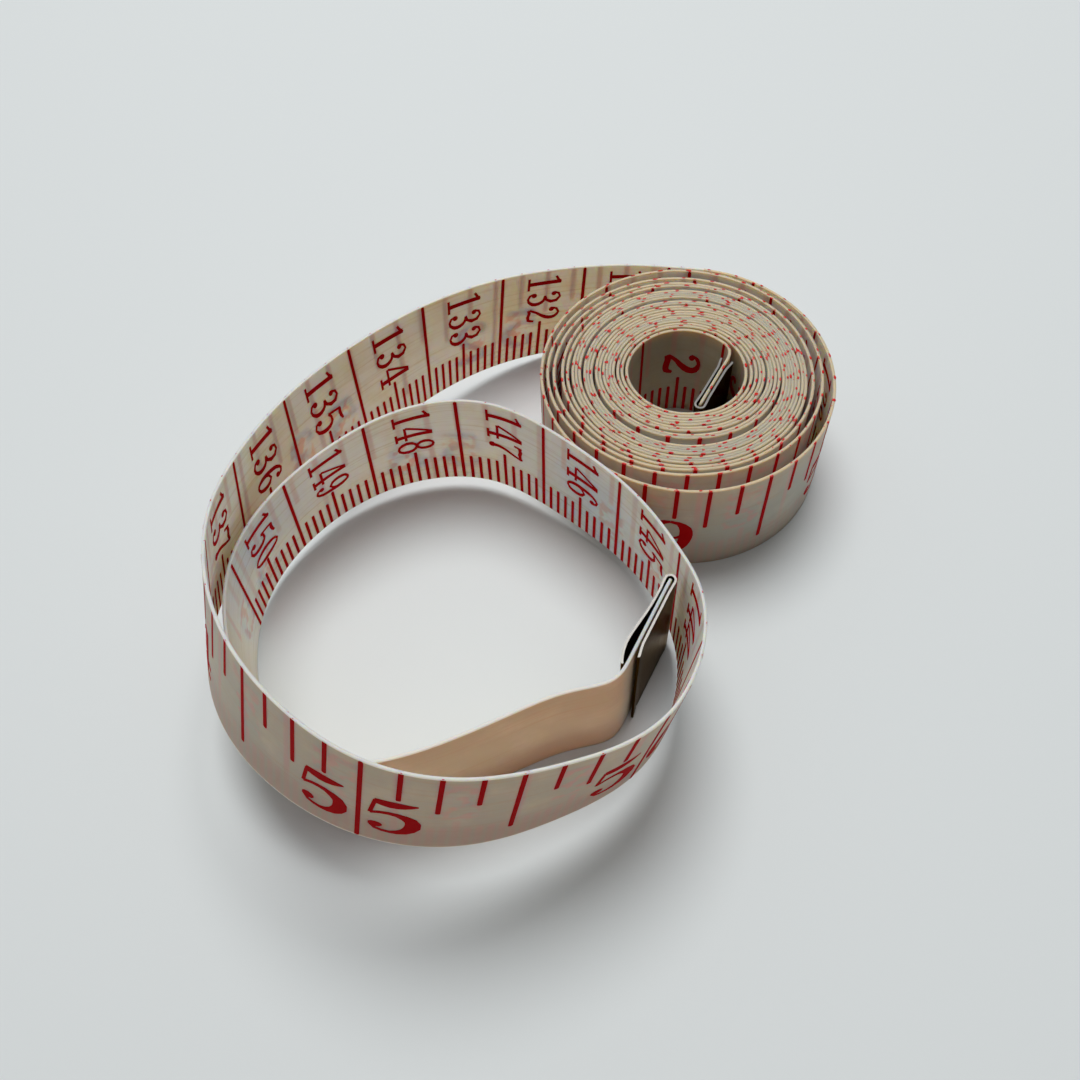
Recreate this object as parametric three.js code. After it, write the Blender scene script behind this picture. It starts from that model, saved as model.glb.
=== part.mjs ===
// A narrow tailor's tape stood on its edge: a loose roll, a free double loop that it runs out into,
// and a folded sheet-metal clip on each end. Millimetres, +Z up, the roll standing on z = 0.
import * as THREE from 'three';

// the tape
const tapeWidth = 12.7;
const tapeThickness = 0.3;
const spliceGap = 0.3;

// the roll: its turns from the bore out, with the bore's clearance round the inner clip
const rollTurns = 12;
const turnGap = 0.526;
const boreClearance = 0.65;
const rollStartAngle = 40;
const rollEndAngle = 77;
const stepsPerTurn = 36;

// the clips: sheet folded once round the tape's end, with a round eye at the fold and flared lips;
// the outer one's leaf inside the loop is longer and bowed off the tape
const innerClipLength = 7.5;
const outerClipLength = 9.2;
const bowedLeafOverhang = 1.2;
const leafBow = 0.5;
const leafBowSkew = 2.2;
const leafBowSteps = 8;
const clipSheet = 0.3;
const clipSlack = 0.12;
const clipEyeRadius = 0.34;
const clipEyeLength = 0.9;
const clipLipLength = 1.3;
const clipLipFlare = 0.22;
const clipEyeRoom = 0.2;
const clipEyeSegments = 8;

// the inner end: its clip lies as a chord across the bore, then the tape turns into the first turn
const innerClipOffset = 2.9;
const innerClipReachShare = 0.55;
const innerClipHeading = 59;
const leadSteps = 14;

// the free stretch: where its bottom edge goes, as the angle round the roll's axis and the distance
// out from the roll's last turn, each with its lift off the table and its lean outwards in degrees;
// the whole stretch is drawn in or out until its farthest place is at the loop's reach
const loopReach = 43.1;
const looseRoute = [
  [106.4, 2, 0, 0], [130.2, 5.2, 0.5, 0], [148.2, 9, 1.5, 1], [164.1, 13.4, 2.5, 4],
  [178.3, 18.3, 3.5, 9], [188, 23.7, 4.5, 10], [196, 29.6, 6, 5], [203.3, 36, 8, -5],
  [211.1, 40.4, 9.5, -14], [219.1, 43, 10, -18], [227.8, 43.1, 10, -15], [236, 41.6, 9, -8],
  [243.9, 37.8, 7.5, -2], [251, 31.9, 6, 4], [259, 26.1, 4.5, 8], [264, 17.2, 3, 6],
  [263.1, 9.1, 1.5, 0.5], [247.6, 2, 1.5, 0], [214.2, 1.2, 1.5, 2], [189.5, 5.6, 1.5, 1],
  [186.7, 14.5, 1.5, -2], [191.2, 23, 1.5, -7], [197.7, 30.5, 1, -5], [205.3, 35.8, 0.5, -1],
  [214.1, 38.7, 0, 0], [222.5, 40.6, 0, 0], [230.1, 39.7, 0, 0], [235.7, 34.8, 0, 0],
  [241.7, 28.2, 0, 0], [247.4, 23.3, 0, 0],
];
const looseStep = 2;
const headingStepShare = 0.25;
const routeDivisions = 40;

// the outer end: its clip's fold lies beside one of the route's places, and the clip holds a straight run
const outerFoldPlaceIndex = 16;
const outerFoldAside = [-1.35, -0.3];
const outerClipHeading = 61;
const outerRunShares = [1.2, 0.92, 0.46, 0];

// how the gaps are measured: spots across the tape's width, and stations left out beside each spot
const gapSpots = 6;
const neighbourStations = 12;
const spliceStations = 3;

const radians = THREE.MathUtils.degToRad;
const tapePitch = tapeThickness + turnGap;
const rollInnerRadius = Math.hypot(innerClipOffset, innerClipReachShare * innerClipLength) + boreClearance;
const rollSweep = rollTurns * 2 * Math.PI + radians(rollEndAngle - rollStartAngle);
const rollOuterRadius = rollInnerRadius + tapePitch * rollSweep / (2 * Math.PI);
const bowedLeafLength = outerClipLength + bowedLeafOverhang;

// a smooth route through the neighbourhood of its points, as a bent strip lies, with a lean beside each
class SmoothRoute extends THREE.Curve {
  constructor(places) {
    super();
    this.places = places;
    this.arcLengthDivisions = routeDivisions * places.length;
  }

  blend(t, pick) {
    const spans = this.places.length - 1;
    const span = Math.min(Math.floor(t * spans), spans - 1);
    const u = t * spans - span;
    const value = (i) => {
      if (i < 0) return 2 * pick(this.places[0]) - pick(this.places[1]);
      if (i > spans) return 2 * pick(this.places[spans]) - pick(this.places[spans - 1]);
      return pick(this.places[i]);
    };
    const weights = [(1 - u) ** 3, 3 * u ** 3 - 6 * u ** 2 + 4, -3 * u ** 3 + 3 * u ** 2 + 3 * u + 1, u ** 3];
    return weights.reduce((sum, weight, k) => sum + weight * value(span - 1 + k), 0) / 6;
  }

  getPoint(t, target = new THREE.Vector3()) {
    return target.set(this.blend(t, (p) => p[0]), this.blend(t, (p) => p[1]), this.blend(t, (p) => p[2]));
  }

  leanAt(t) {
    return radians(this.blend(t, (p) => p[3]));
  }
}

// one place along the tape: its bottom edge, its top edge and the way out of the loop or roll
function station(bottom, along, lean) {
  const out = new THREE.Vector3(along.y, -along.x, 0).normalize();
  const rise = new THREE.Vector3().crossVectors(out, along).normalize();
  rise.multiplyScalar(Math.cos(lean)).addScaledVector(out, Math.sin(lean));
  const face = new THREE.Vector3().crossVectors(along, rise).normalize();
  return { bottom, top: bottom.clone().addScaledVector(rise, tapeWidth), face };
}

// a point of the roll's spiral, at an angle wound on from its start
function rollPoint(wound) {
  const radius = rollInnerRadius + tapePitch * wound / (2 * Math.PI);
  const angle = radians(rollStartAngle) + wound;
  return new THREE.Vector3(radius * Math.cos(angle), radius * Math.sin(angle), 0);
}

function headings(points) {
  const last = points.length - 1;
  return points.map((_, i) => points[Math.min(i + 1, last)].clone().sub(points[Math.max(i - 1, 0)]).normalize());
}

function heading(degrees) {
  return new THREE.Vector3(Math.cos(radians(degrees)), Math.sin(radians(degrees)), 0);
}

// the inner clip's fold and mouth, on a chord that passes the roll's axis at one side
const chord = heading(innerClipHeading);
const chordSide = heading(innerClipHeading - 90);
const innerFold = chordSide.clone().multiplyScalar(innerClipOffset)
  .addScaledVector(chord, -innerClipReachShare * innerClipLength);
const innerMouth = innerFold.clone().addScaledVector(chord, innerClipLength);

// where the chord's line meets the tangent of the roll's start: the tape bends round there
function innerCorner(start) {
  const tangent = heading(rollStartAngle + 90);
  const run = (innerClipOffset - start.dot(chordSide)) / tangent.dot(chordSide);
  return start.clone().addScaledVector(tangent, run);
}

function rollStations() {
  const start = rollPoint(0);
  const corner = innerCorner(start);
  const lead = new THREE.CurvePath();
  const tapeEnd = innerFold.clone().addScaledVector(chord, clipSheet + clipEyeRoom);
  lead.add(new THREE.LineCurve3(tapeEnd, innerMouth));
  lead.add(new THREE.QuadraticBezierCurve3(innerMouth, corner, start));
  const points = lead.getSpacedPoints(leadSteps).slice(0, -1);
  const steps = Math.round(rollSweep / (2 * Math.PI) * stepsPerTurn);
  for (let i = 0; i <= steps; i += 1) points.push(rollPoint(rollSweep * i / steps));
  const ways = headings(points);
  return points.map((point, i) => station(point, ways[i], 0));
}

// the free stretch's places in plan, drawn out from the roll to the loop's reach
function loosePlaces() {
  const draw = loopReach / Math.max(...looseRoute.map((place) => place[1]));
  return looseRoute.map(([angle, distance, lift, lean]) => {
    const far = rollOuterRadius + draw * distance;
    return [far * Math.cos(radians(angle)), far * Math.sin(radians(angle)), lift, lean];
  });
}

function looseStations() {
  const rollEnd = rollPoint(rollSweep);
  const places = loosePlaces();
  const outerWay = heading(outerClipHeading);
  const foldX = places[outerFoldPlaceIndex][0] + outerFoldAside[0];
  const foldY = places[outerFoldPlaceIndex][1] + outerFoldAside[1];
  const run = outerRunShares.map((share) => [
    foldX - share * bowedLeafLength * outerWay.x, foldY - share * bowedLeafLength * outerWay.y, 0, 0,
  ]);
  const route = new SmoothRoute([[rollEnd.x, rollEnd.y, 0, 0], ...places, ...run]);
  const length = route.getLength();
  const steps = Math.round(length / looseStep);
  const stations = [];
  for (let i = 0; i <= steps; i += 1) {
    const distance = spliceGap + (length - spliceGap - clipSheet - clipEyeRoom) * i / steps;
    const t = route.getUtoTmapping(0, distance);
    const ahead = route.getPoint(Math.min(t + headingStepShare / steps, 1));
    const behind = route.getPoint(Math.max(t - headingStepShare / steps, 0));
    stations.push(station(route.getPoint(t), ahead.sub(behind).normalize(), route.leanAt(t)));
  }
  return { stations, foldEnd: route.getPoint(1), way: outerWay, length };
}

// a closed strip of the tape's width and thickness through its stations
function stripGeometry(stations) {
  const positions = [];
  const half = tapeThickness / 2;
  for (const { bottom, top, face } of stations) {
    for (const [edge, side] of [[bottom, -half], [bottom, half], [top, half], [top, -half]]) {
      positions.push(...edge.clone().addScaledVector(face, side).toArray());
    }
  }
  const faces = [];
  for (let i = 0; i < stations.length - 1; i += 1) {
    for (let k = 0; k < 4; k += 1) {
      const a = 4 * i + k;
      const b = 4 * i + (k + 1) % 4;
      faces.push(a, a + 4, b, b, a + 4, b + 4);
    }
  }
  const end = 4 * (stations.length - 1);
  faces.push(0, 1, 2, 0, 2, 3, end, end + 2, end + 1, end, end + 3, end + 2);
  const geometry = new THREE.BufferGeometry();
  geometry.setAttribute('position', new THREE.Float32BufferAttribute(positions, 3));
  geometry.setIndex(faces);
  geometry.computeVertexNormals();
  return geometry;
}

// half of the folded sheet's outline, from the fold to the leaf's end, at distances from the clip's
// middle plane; a leaf flares out at its lip, or bows away and comes back to the tape
function clipSide({ length, side, bow }, eye, leaf) {
  const outline = [[-clipEyeLength, side * eye], [-2 * clipEyeLength, side * leaf]];
  if (!bow) return [...outline, [clipLipLength - length, side * leaf], [-length, side * (leaf + clipLipFlare)]];
  for (let i = 1; i <= leafBowSteps; i += 1) {
    const share = i / leafBowSteps;
    const away = bow * Math.sin(Math.PI * share ** leafBowSkew);
    outline.push([-2 * clipEyeLength - share * (length - 2 * clipEyeLength), side * (leaf + away)]);
  }
  return outline;
}

function clipGeometry(firstLeaf, secondLeaf) {
  const inside = tapeThickness / 2 + clipSlack;
  const outside = inside + clipSheet;
  const eyeOutside = clipEyeRadius + clipSheet;
  const start = clipSide(firstLeaf, eyeOutside, outside).reverse();
  const shape = new THREE.Shape();
  shape.moveTo(...start[0]);
  start.slice(1).forEach((p) => shape.lineTo(...p));
  shape.absarc(-eyeOutside, 0, eyeOutside, -Math.PI / 2, Math.PI / 2, false);
  clipSide(secondLeaf, eyeOutside, outside).forEach((p) => shape.lineTo(...p));
  clipSide(secondLeaf, clipEyeRadius, inside).reverse().forEach((p) => shape.lineTo(...p));
  shape.absarc(-eyeOutside, 0, clipEyeRadius, Math.PI / 2, -Math.PI / 2, true);
  clipSide(firstLeaf, clipEyeRadius, inside).forEach((p) => shape.lineTo(...p));
  shape.closePath();
  return new THREE.ExtrudeGeometry(shape, { depth: tapeWidth, bevelEnabled: false, curveSegments: clipEyeSegments });
}

const tapeFinish = { color: 0xd9d2bf, roughness: 0.55, metalness: 0 };
const nickelFinish = { color: 0xb4b5b3, roughness: 0.3, metalness: 1 };

function piece(name, geometry, finish) {
  const mesh = new THREE.Mesh(geometry, new THREE.MeshStandardMaterial(finish));
  mesh.name = name;
  return mesh;
}

function clip(name, [firstLength, secondLength], bow, foldEnd, way) {
  const firstLeaf = { length: firstLength, side: -1, bow: 0 };
  const secondLeaf = { length: secondLength, side: 1, bow };
  const mesh = piece(name, clipGeometry(firstLeaf, secondLeaf), nickelFinish);
  mesh.position.copy(foldEnd);
  mesh.rotation.z = Math.atan2(way.y, way.x);
  return mesh;
}

// the least clear space between two runs of stations, or of one run to itself further on
function leastGap(runA, runB, apart) {
  let least = Infinity;
  const spots = (s) => Array.from({ length: gapSpots }, (_, k) => s.bottom.clone().lerp(s.top, k / (gapSpots - 1)));
  const spotsB = runB.map(spots);
  runA.forEach((a, i) => {
    spots(a).forEach((p) => {
      for (let j = apart ? i + apart : 0; j < runB.length; j += 1) {
        for (const q of spotsB[j]) least = Math.min(least, p.distanceTo(q));
      }
    });
  });
  return least - tapeThickness;
}

const roll = rollStations();
const loose = looseStations();

const assembly = new THREE.Group();
assembly.add(piece('coiled_tape', stripGeometry(roll), tapeFinish));
assembly.add(piece('tape_loop', stripGeometry(loose.stations), tapeFinish));
assembly.add(clip('inner_end_clip', [innerClipLength, innerClipLength], 0, innerFold, chord.clone().negate()));
assembly.add(clip('outer_end_clip', [outerClipLength, bowedLeafLength], leafBow, loose.foldEnd, loose.way));

// the origin goes under the middle of the whole part's box
const reach = new THREE.Box3().setFromObject(assembly);
const middle = reach.getCenter(new THREE.Vector3());
assembly.position.set(-middle.x, -middle.y, -reach.min.z);

const clearOfSplice = loose.stations.slice(spliceStations);
console.log(`least gap of the roll to itself ${leastGap(roll, roll, stepsPerTurn / 2).toFixed(2)} mm`);
console.log(`least gap of the loop to itself ${leastGap(loose.stations, loose.stations, neighbourStations).toFixed(2)} mm`);
console.log(`least gap of the loop to the roll ${leastGap(clearOfSplice, roll, 0).toFixed(2)} mm`);
console.log(`free stretch ${loose.length.toFixed(1)} mm, roll axis at ${(-middle.x).toFixed(3)}, ${(-middle.y).toFixed(3)} mm`);
console.log(`box ${reach.getSize(new THREE.Vector3()).toArray().map((v) => v.toFixed(2)).join(' x ')} mm`);

const part = new THREE.Group();
part.add(assembly);
export default part;
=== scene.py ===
import math

import bmesh
import bpy
import numpy as np
from mathutils import Matrix, Vector


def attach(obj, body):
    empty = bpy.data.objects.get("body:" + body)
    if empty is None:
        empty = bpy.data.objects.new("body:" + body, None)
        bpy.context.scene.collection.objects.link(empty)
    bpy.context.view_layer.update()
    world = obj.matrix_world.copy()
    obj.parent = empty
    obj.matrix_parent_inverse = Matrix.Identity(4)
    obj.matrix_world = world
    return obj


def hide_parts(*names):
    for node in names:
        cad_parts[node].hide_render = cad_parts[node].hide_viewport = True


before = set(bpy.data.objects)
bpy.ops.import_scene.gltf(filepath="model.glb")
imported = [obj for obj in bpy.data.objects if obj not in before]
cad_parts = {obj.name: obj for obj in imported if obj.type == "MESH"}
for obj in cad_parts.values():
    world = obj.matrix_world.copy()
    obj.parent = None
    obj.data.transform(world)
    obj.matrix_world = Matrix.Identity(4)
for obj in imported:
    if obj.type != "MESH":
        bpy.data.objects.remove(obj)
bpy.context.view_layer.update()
print("frame loaded", sorted(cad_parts))


# Camera: set where the photograph was taken from
cameraValues = {
    "place": (-0.00033, -0.061644, 0.0975),
    "down": 56.19,
    "roll": -2.65,
    "lens": 36.0,
    "sensor": 36.0,
}


def makeCamera(values):
    down, roll = math.radians(values["down"]), math.radians(values["roll"])
    forward = Vector((0, math.cos(down), -math.sin(down)))
    up = Vector((0, math.sin(down), math.cos(down)))
    right = Vector((1, 0, 0))
    cameraX = right * math.cos(roll) + up * math.sin(roll)
    cameraY = up * math.cos(roll) - right * math.sin(roll)
    turn = Matrix((cameraX, cameraY, -forward)).transposed().to_4x4()
    data = bpy.data.cameras.new("camera")
    data.lens = values["lens"]
    data.sensor_width = values["sensor"]
    data.clip_start = 0.005
    data.clip_end = 20
    camera = bpy.data.objects.new("camera", data)
    camera.matrix_world = Matrix.Translation(values["place"]) @ turn
    bpy.context.scene.collection.objects.link(camera)
    bpy.context.scene.camera = camera


makeCamera(cameraValues)
print("camera placed")


# Node helpers
def newMaterial(name):
    material = bpy.data.materials.new(name)
    material.use_nodes = True
    tree = material.node_tree
    return material, tree, tree.nodes["Principled BSDF"]


def fillInputs(tree, node, inputs):
    for key, value in inputs.items():
        if isinstance(value, bpy.types.NodeSocket):
            tree.links.new(value, node.inputs[key])
        else:
            node.inputs[key].default_value = value
    return node


def addNode(tree, kind, settings=None, inputs=None):
    node = tree.nodes.new(kind)
    for key, value in (settings or {}).items():
        setattr(node, key, value)
    return fillInputs(tree, node, inputs or {})


def addGroup(tree, group, inputs):
    node = tree.nodes.new("ShaderNodeGroup")
    node.node_tree = group
    return fillInputs(tree, node, inputs)


def maths(tree, operation, *operands):
    node = addNode(tree, "ShaderNodeMath", {"operation": operation}, dict(enumerate(operands)))
    return node.outputs[0]


def awayFrom(tree, value, middle):
    return maths(tree, "ABSOLUTE", maths(tree, "SUBTRACT", value, middle))


def mapped(tree, value, fromRange=(0.0, 1.0), toRange=(0.0, 1.0), smooth=False):
    settings = {"interpolation_type": "SMOOTHSTEP"} if smooth else {}
    inputs = {
        "Value": value,
        "From Min": fromRange[0],
        "From Max": fromRange[1],
        "To Min": toRange[0],
        "To Max": toRange[1],
    }
    return addNode(tree, "ShaderNodeMapRange", settings, inputs).outputs["Result"]


def mixed(tree, share, first, second):
    node = addNode(tree, "ShaderNodeMix", {"data_type": "RGBA"}, {0: share, 6: first, 7: second})
    return node.outputs[2]


def stretched(tree, place, scale):
    return addNode(tree, "ShaderNodeMapping", inputs={"Vector": place, "Scale": scale}).outputs[0]


def noise(tree, place, scale, detail):
    inputs = {"Vector": place, "Scale": scale, "Detail": detail}
    return addNode(tree, "ShaderNodeTexNoise", inputs=inputs).outputs["Fac"]


def addBump(tree, shader, height, strength, depth):
    inputs = {"Strength": strength, "Distance": depth, "Height": height}
    bump = addNode(tree, "ShaderNodeBump", inputs=inputs)
    tree.links.new(bump.outputs[0], shader.inputs["Normal"])


def makeGroup(name, inputs, outputs):
    group = bpy.data.node_groups.new(name, "ShaderNodeTree")
    for label, kind, value in inputs:
        socket = group.interface.new_socket(name=label, in_out="INPUT", socket_type=kind)
        socket.default_value = value
    for label, kind in outputs:
        group.interface.new_socket(name=label, in_out="OUTPUT", socket_type=kind)
    return group, group.nodes.new("NodeGroupInput"), group.nodes.new("NodeGroupOutput")


placeSocket, colourSocket, numberSocket = "NodeSocketVector", "NodeSocketColor", "NodeSocketFloat"


# A colour with uneven patches of a stain
def makeMottleGroup():
    group, start, end = makeGroup(
        "mottle",
        [("Vector", placeSocket, (0, 0, 0)), ("Colour", colourSocket, (1, 1, 1, 1)),
         ("Stain", colourSocket, (0.5, 0.4, 0.3, 1)), ("Scale", numberSocket, 1.0),
         ("Amount", numberSocket, 0.3), ("Low", numberSocket, 0.4), ("High", numberSocket, 0.8)],
        [("Colour", colourSocket), ("Share", numberSocket)],
    )
    given = start.outputs
    patches = addNode(group, "ShaderNodeTexNoise", inputs={
        "Vector": given["Vector"], "Scale": given["Scale"], "Detail": 4.0, "Roughness": 0.6})
    share = mapped(group, patches.outputs["Fac"], (given["Low"], given["High"]), smooth=True)
    amount = maths(group, "MULTIPLY", share, given["Amount"])
    group.links.new(mixed(group, amount, given["Colour"], given["Stain"]), end.inputs["Colour"])
    group.links.new(share, end.inputs["Share"])
    return group


mottleGroup = makeMottleGroup()


def mottle(tree, place, colour, overlay, look):
    return addGroup(tree, mottleGroup, {"Vector": place, "Colour": colour, "Stain": overlay, **look}).outputs


# Where evenly spaced marks lie: how near a place is to the closest one, and within its length
marksEndReach = (-0.0003, 0.0004)


def makeMarksGroup():
    group, start, end = makeGroup(
        "marks",
        [("Along", numberSocket, 0.0), ("Across", numberSocket, 0.0), ("Period", numberSocket, 0.001),
         ("Length", numberSocket, 0.004), ("Near", numberSocket, 0.0001), ("Far", numberSocket, 0.0005)],
        [("Share", numberSocket)],
    )
    given = start.outputs
    half = maths(group, "MULTIPLY", given["Period"], 0.5)
    distance = maths(group, "PINGPONG", given["Along"], half)
    near = mapped(group, distance, (given["Near"], given["Far"]), (1.0, 0.0), smooth=True)
    past = maths(group, "SUBTRACT", given["Across"], given["Length"])
    within = mapped(group, past, marksEndReach, (1.0, 0.0), smooth=True)
    group.links.new(maths(group, "MULTIPLY", near, within), end.inputs["Share"])
    return group


marksGroup = makeMarksGroup()


def marksShare(tree, along, across, marks):
    near, far = marks["reach"]
    found = None
    for period, length in marks["rows"]:
        node = addGroup(tree, marksGroup, {
            "Along": along, "Across": across, "Period": period, "Length": length, "Near": near, "Far": far})
        share = node.outputs["Share"]
        found = share if found is None else maths(tree, "MAXIMUM", found, share)
    begun = maths(tree, "GREATER_THAN", along, marks["from"])
    ended = maths(tree, "LESS_THAN", along, marks["to"])
    return maths(tree, "MULTIPLY", found, maths(tree, "MULTIPLY", begun, ended))


# The tape: its length runs from the inner clip's fold to the outer one's
tapeValues = {
    "width": 0.0127,
    "thickness": 0.0003,
    "length": 1.5637,
    "rolled": 1.296,
    "step": 0.0005,
    "acrossSteps": 6,
    "rim": 0.00012,
    "rimSteps": 3,
}
scaleValues = {"inch": 0.0254, "centimetre": 0.01, "millimetre": 0.001}


# The cloth under its vinyl coat. Its own flat coordinates are metres along and across, and the convex
# face's ones lie one strip further across, so the two faces and the rims take their own colours. The two
# faces are lit and shaded copies of one cloth: the concave face is painted light and the convex face painted
# shade
clothValues = {
    "inner": (0.97, 0.93, 0.88, 1),
    "outer": (0.54, 0.52, 0.43, 1),
    # painted shade: a darker tan on the innermost turns in the bore and on the unprinted stretch past 150
    # cm, which lies in shade
    "paintedShadeTan": (0.58, 0.52, 0.37, 1),
    "boreShadeReach": (0.05, 0.09),
    "tailShadeReach": (1.5, 1.512),
    "dull": (0.78, 0.68, 0.55, 1),
    "patches": {"Scale": 160.0, "Amount": 0.5, "Low": 0.42, "High": 0.72},
    "streak": (0.56, 0.39, 0.22, 1),
    "streaks": {"Scale": 1.0, "Amount": 0.45, "Low": 0.48, "High": 0.78},
    "streakStretch": (60, 2600, 1),
    "dirt": (0.25, 0.17, 0.10, 1),
    "specks": {"Scale": 1500.0, "Amount": 0.7, "Low": 0.715, "High": 0.80},
    "rim": (0.85, 0.79, 0.71, 1),
    # painted shade: the rims in the roll are darker and warmer than the free stretch's, for the shade
    # between packed turns
    "rolledRimShade": (0.73, 0.54, 0.37, 1),
    "rimReach": (0.00618, 0.0063),
    # painted shade: the convex face darker towards its lower edge, where the floor in front lies in shadow
    "lowShadeBand": {"colour": (0.44, 0.34, 0.25, 1), "reach": (0.0018, 0.0062), "amount": 0.5},
    "threadsPerMetre": 2300,
    "threadHeight": 0.25,
    "coatScale": 0.9,
    "roughness": (0.5, 0.68),
    "bump": 0.10,
    "bumpDepth": 0.00006,
    "glow": 0.9,
    "glowReach": (0.0011, 0.0007, 0.00033),
    "specular": 0.3,
}
faceApart = 0.02
outerFaceFrom = 0.8 * faceApart

# The other face's print as back light shows it through the cloth, painted into the cloth's colour as painted
# light and shade: rows of marks by their period and length, where they start and stop, how soft they are,
# and how strong they are on the inner and on the outer face
throughValues = {
    # painted light: the pink of back light shining through the cloth past the other face's ink
    "paintedShowThrough": (0.88, 0.32, 0.30, 1),
    "uneven": (1.15, 0.4),
    "inchMarks": {
        "rows": ((0.003175, 0.0046), (0.00635, 0.006), (0.0127, 0.0102), (0.0254, 0.02)),
        "from": -0.002, "to": 1.5245, "reach": (0.00012, 0.00052), "amounts": (0.30, 0.40),
    },
    "centimetreMarks": {
        "rows": ((0.001, 0.0038), (0.005, 0.0053), (0.01, 0.02)),
        "from": -0.002, "to": 1.5005, "reach": (0.00012, 0.00050), "amounts": (0.18, 0.28),
    },
    "inchFigures": {
        "rows": ((0.0254, 0.0025),),
        "from": -0.002, "to": 1.53, "reach": (0.0013, 0.0021), "amounts": (0.44, 0),
    },
    "centimetreFigures": {
        "rows": ((0.01, 0.0030),),
        "from": -0.002, "to": 1.4995, "reach": (0.0016, 0.0023), "amounts": (0, 0.34),
    },
    "hundreds": {
        "rows": ((0.01, 0.00010),),
        "from": 0.993, "to": 1.4995, "reach": (0.0017, 0.0022), "amounts": (0, 0.34),
    },
    "figureBeside": 0.0031,
    "figureHeight": 0.0048,
    "figureAlong": 0.00475,
    "figureColumn": 0.00395,
    "hundredsColumn": 0.0016,
    "blotchScale": 800.0,
    "blotchReach": (0.46, 0.62),
}


def printedThrough(tree, values, flat, run, across, onOuter):
    fromTop = maths(tree, "SUBTRACT", tapeValues["width"], across)
    blotched = noise(tree, flat, values["blotchScale"], 1.0)
    blotches = mapped(tree, blotched, values["blotchReach"], smooth=True)
    inchRun = maths(tree, "PINGPONG", run, scaleValues["inch"] / 2)
    besideInch = maths(tree, "SUBTRACT", inchRun, values["figureBeside"])
    figureRun = maths(tree, "SUBTRACT", run, values["figureAlong"])
    overlay = None
    for key, along, above, cover in (
            ("inchMarks", run, fromTop, None),
            ("centimetreMarks", run, across, None),
            ("inchFigures", besideInch, awayFrom(tree, across, values["figureHeight"]), blotches),
            ("centimetreFigures", figureRun, awayFrom(tree, fromTop, values["figureColumn"]), blotches),
            ("hundreds", figureRun, awayFrom(tree, fromTop, values["hundredsColumn"]), None)):
        amount = mapped(tree, onOuter, toRange=values[key]["amounts"])
        part = maths(tree, "MULTIPLY", marksShare(tree, along, above, values[key]), amount)
        if cover is not None:
            part = maths(tree, "MULTIPLY", part, cover)
        overlay = part if overlay is None else maths(tree, "MAXIMUM", overlay, part)
    return overlay


def makeCloth(values, through):
    material, tree, shader = newMaterial("coatedCloth")
    flat = addNode(tree, "ShaderNodeUVMap", {"uv_map": "flat"}).outputs[0]
    place = addNode(tree, "ShaderNodeSeparateXYZ", inputs={0: flat}).outputs
    run = place["X"]
    onOuter = maths(tree, "GREATER_THAN", place["Y"], outerFaceFrom)
    across = maths(tree, "MULTIPLY_ADD", onOuter, -faceApart, place["Y"])
    # painted light and shade: the concave face's near-white and the convex face's darker colour are lit and
    # shaded copies of one cloth
    face = mixed(tree, onOuter, values["inner"], values["outer"])
    # painted shade: the innermost turns in the bore and the unprinted tail turn a darker tan
    start = mapped(tree, run, values["boreShadeReach"], (1.0, 0.0), smooth=True)
    end = mapped(tree, run, values["tailShadeReach"], smooth=True)
    shadedGround = mixed(tree, maths(tree, "MAXIMUM", start, end), face, values["paintedShadeTan"])
    patches = mottle(tree, flat, shadedGround, values["dull"], values["patches"])
    drawn = stretched(tree, flat, values["streakStretch"])
    streaks = mottle(tree, drawn, patches["Colour"], values["streak"], values["streaks"])
    specks = mottle(tree, flat, streaks["Colour"], values["dirt"], values["specks"])
    # painted light and shade: the other face's print as back light shows it through
    overlay = printedThrough(tree, through, flat, run, across, onOuter)
    uneven = mapped(tree, patches["Share"], toRange=through["uneven"])
    showThroughShare = maths(tree, "MULTIPLY", overlay, uneven)
    paintedShowThrough = mixed(tree, showThroughShare, specks["Colour"], through["paintedShowThrough"])
    # painted shade on the convex face, darker towards its lower edge
    band = values["lowShadeBand"]
    low = mapped(tree, across, band["reach"], (band["amount"], 0.0), smooth=True)
    paintedLowShade = mixed(tree, maths(tree, "MULTIPLY", low, onOuter), paintedShowThrough, band["colour"])
    away = awayFrom(tree, across, tapeValues["width"] / 2)
    rim = mapped(tree, away, values["rimReach"], smooth=True)
    # painted shade on the rolled rims; the free stretch keeps the rim's own paler colour
    free = maths(tree, "GREATER_THAN", run, tapeValues["rolled"])
    rimAndRolledShade = mixed(tree, free, values["rolledRimShade"], values["rim"])
    tree.links.new(mixed(tree, rim, paintedLowShade, rimAndRolledShade), shader.inputs["Base Color"])
    threads = stretched(tree, flat, (values["threadsPerMetre"],) * 3)
    checks = {"Vector": threads, "Scale": 1.0}
    weave = addNode(tree, "ShaderNodeTexChecker", inputs=checks).outputs["Fac"]
    coat = noise(tree, threads, values["coatScale"], 2.0)
    height = maths(tree, "MULTIPLY_ADD", weave, values["threadHeight"], coat)
    addBump(tree, shader, height, values["bump"], values["bumpDepth"])
    rough = mapped(tree, patches["Share"], toRange=values["roughness"])
    tree.links.new(rough, shader.inputs["Roughness"])
    shader.inputs["Subsurface Weight"].default_value = values["glow"]
    shader.inputs["Subsurface Radius"].default_value = values["glowReach"]
    shader.inputs["Subsurface Scale"].default_value = 1.0
    shader.inputs["Specular IOR Level"].default_value = values["specular"]
    return material


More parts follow.
